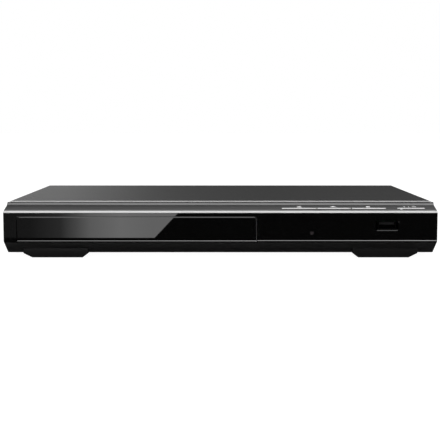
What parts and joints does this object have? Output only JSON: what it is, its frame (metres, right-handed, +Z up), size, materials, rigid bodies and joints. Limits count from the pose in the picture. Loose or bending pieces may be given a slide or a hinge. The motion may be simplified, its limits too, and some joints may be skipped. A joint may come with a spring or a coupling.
{
  "type": "dvd player with tray",
  "caption": "Slim black disc player with a motor-driven tray in its front, keys in the sloped shelf above, a USB socket, rear jacks and a hinged pickup mechanism inside.",
  "frame": {"origin": "under the middle of the player, in the plane that its feet stand on", "axes": "+X to the right along the front, +Y from the front to the back, +Z up"},
  "size_m": [0.32, 0.209, 0.042],
  "materials": {
    "textured_black": "fine satin texture",
    "gloss_black": "high gloss",
    "bright_trim": "polished",
    "galvanised": "plain zinc",
    "rubber_black": "matt",
    "screw_steel": "dark zinc",
    "window_red": "clear dark",
    "lens_white": "frosted",
    "switch_grey": "matt",
    "board_green": "solder mask",
    "board_tan": "bare paper laminate",
    "socket_metal": "nickel plated",
    "socket_black": "moulded",
    "tongue_white": "moulded",
    "jack_colours": "one colour a jack",
    "chip_black": "moulded",
    "capacitor_sleeve": "shrink sleeve",
    "transformer_tape": "tape over ferrite",
    "fuse_glass": "glass in metal clips",
    "wire_red": "insulated wire",
    "pin_metal": "nickel plated",
    "loader_plastic": "moulded",
    "tray_plastic": "fine texture",
    "motor_can": "plated can",
    "gear_white": "acetal",
    "rod_steel": "polished",
    "stator_copper": "wound",
    "turntable_black": "rubber faced",
    "sled_metal": "cast",
    "holder_black": "moulded",
    "lens_glass": "coated",
    "bridge_steel": "plain zinc"
  },
  "bodies": {
    "case": {"chassis": "galvanised", "rear_feet": "rubber_black", "top_cover": "textured_black", "cover_screws": "screw_steel", "frame_screws": "screw_steel", "front_bezel": "gloss_black", "edge_trim": "bright_trim", "ir_window": "window_red", "led_lens": "lens_white", "key_board": "board_green", "tact_switches": "switch_grey", "usb_shell": "socket_metal", "usb_tongue": "tongue_white", "ir_receiver": "socket_black", "front_ribbon": "tongue_white", "main_board": "board_green", "main_chips": "chip_black", "board_connectors": "tongue_white", "capacitors": "capacitor_sleeve", "rca_block": "socket_black", "rca_sleeves": "socket_metal", "rca_inserts": "jack_colours", "hdmi_socket": "socket_metal", "hdmi_tongue": "socket_black", "power_board": "board_tan", "transformer": "transformer_tape", "fuse": "fuse_glass", "power_harness": "wire_red", "mains_inlet": "socket_black", "inlet_pins": "pin_metal", "loader_frame": "loader_plastic", "tray_motor": "motor_can", "drive_belt": "rubber_black", "clamp_bridge": "bridge_steel"},
    "tray": {"disc_tray": "tray_plastic", "tray_door": "gloss_black"},
    "tray_gear": {"tray_gear": "gear_white"},
    "pulley_gear": {"pulley_gear": "gear_white"},
    "motor_pulley": {"motor_pulley": "gear_white"},
    "cam_slider": {"cam_slider": "gear_white"},
    "traverse": {"traverse_frame": "loader_plastic", "guide_rods": "rod_steel", "spindle_motor": "stator_copper", "sled_motor": "motor_can"},
    "turntable": {"spindle_rotor": "motor_can", "turntable": "turntable_black"},
    "sled": {"pickup_sled": "sled_metal"},
    "lens": {"lens_holder": "holder_black", "objective_lens": "lens_glass"},
    "lead_screw": {"lead_screw": "rod_steel"},
    "clamp": {"clamp_puck": "gear_white", "clamp_magnet": "bridge_steel"},
    "eject_key": {"eject_key": "gloss_black", "eject_plunger": "switch_grey"},
    "play_key": {"play_key": "gloss_black", "play_plunger": "switch_grey"},
    "stop_key": {"stop_key": "gloss_black", "stop_plunger": "switch_grey"},
    "power_key": {"power_key": "gloss_black", "power_plunger": "switch_grey"}
  },
  "joints": [
    {"name": "tray_slide", "type": "slide", "parent": "case", "child": "tray", "axis": [0, -1, 0], "range_m": [0, 0.132]},
    {"name": "tray_gear_spin", "type": "hinge", "parent": "case", "child": "tray_gear", "pos_m": [-0.0136, -0.082, 0.017], "axis": [0, 0, 1], "range_deg": [-842, 0]},
    {"name": "pulley_gear_spin", "type": "hinge", "parent": "case", "child": "pulley_gear", "pos_m": [-0.0331, -0.082, 0.017], "axis": [0, 0, 1], "range_deg": [0, 2374]},
    {"name": "motor_pulley_spin", "type": "hinge", "parent": "case", "child": "motor_pulley", "pos_m": [-0.0606, -0.08, 0.019], "axis": [0, 0, 1], "range_deg": [0, 5794]},
    {"name": "cam_slide", "type": "slide", "parent": "case", "child": "cam_slider", "axis": [-1, 0, 0], "range_m": [0, 0.018]},
    {"name": "traverse_tilt", "type": "hinge", "parent": "case", "child": "traverse", "pos_m": [-0.0616, 0.057, 0.017], "axis": [1, 0, 0], "range_deg": [0, 2.87]},
    {"name": "turntable_spin", "type": "hinge", "parent": "traverse", "child": "turntable", "pos_m": [-0.0616, -0.0351, 0.028], "axis": [0, 0, 1], "continuous": true},
    {"name": "clamp_spin", "type": "hinge", "parent": "case", "child": "clamp", "pos_m": [-0.0616, -0.0351, 0.034], "axis": [0, 0, 1], "continuous": true},
    {"name": "sled_slide", "type": "slide", "parent": "traverse", "child": "sled", "axis": [0, 1, 0], "range_m": [0, 0.036]},
    {"name": "lead_screw_spin", "type": "hinge", "parent": "traverse", "child": "lead_screw", "pos_m": [-0.0316, 0, 0.017], "axis": [0, 1, 0], "range_deg": [0, 4321]},
    {"name": "lens_focus", "type": "slide", "parent": "sled", "child": "lens", "axis": [0, 0, 1], "range_m": [-0.0004, 0.0004], "stiffness_N_per_m": 50},
    {"name": "eject_press", "type": "slide", "parent": "case", "child": "eject_key", "axis": [0, 0, -1], "range_m": [0, 0.0005], "stiffness_N_per_m": 600, "springref_m": -0.0005},
    {"name": "play_press", "type": "slide", "parent": "case", "child": "play_key", "axis": [0, 0, -1], "range_m": [0, 0.0005], "stiffness_N_per_m": 600, "springref_m": -0.0005},
    {"name": "stop_press", "type": "slide", "parent": "case", "child": "stop_key", "axis": [0, 0, -1], "range_m": [0, 0.0005], "stiffness_N_per_m": 600, "springref_m": -0.0005},
    {"name": "power_press", "type": "slide", "parent": "case", "child": "power_key", "axis": [0, 0, -1], "range_m": [0, 0.0005], "stiffness_N_per_m": 600, "springref_m": -0.0005}
  ],
  "couplings": [
    {"joint": "tray_gear_spin", "follows": "tray_slide", "rad_per_m": -111.11},
    {"joint": "pulley_gear_spin", "follows": "tray_slide", "rad_per_m": 313.73},
    {"joint": "motor_pulley_spin", "follows": "tray_slide", "rad_per_m": 765.86},
    {"joint": "traverse_tilt", "follows": "cam_slide", "rad_per_m": 2.7789},
    {"joint": "clamp_spin", "follows": "turntable_spin", "ratio": 1},
    {"joint": "lead_screw_spin", "follows": "sled_slide", "rad_per_m": 2094.4}
  ]
}
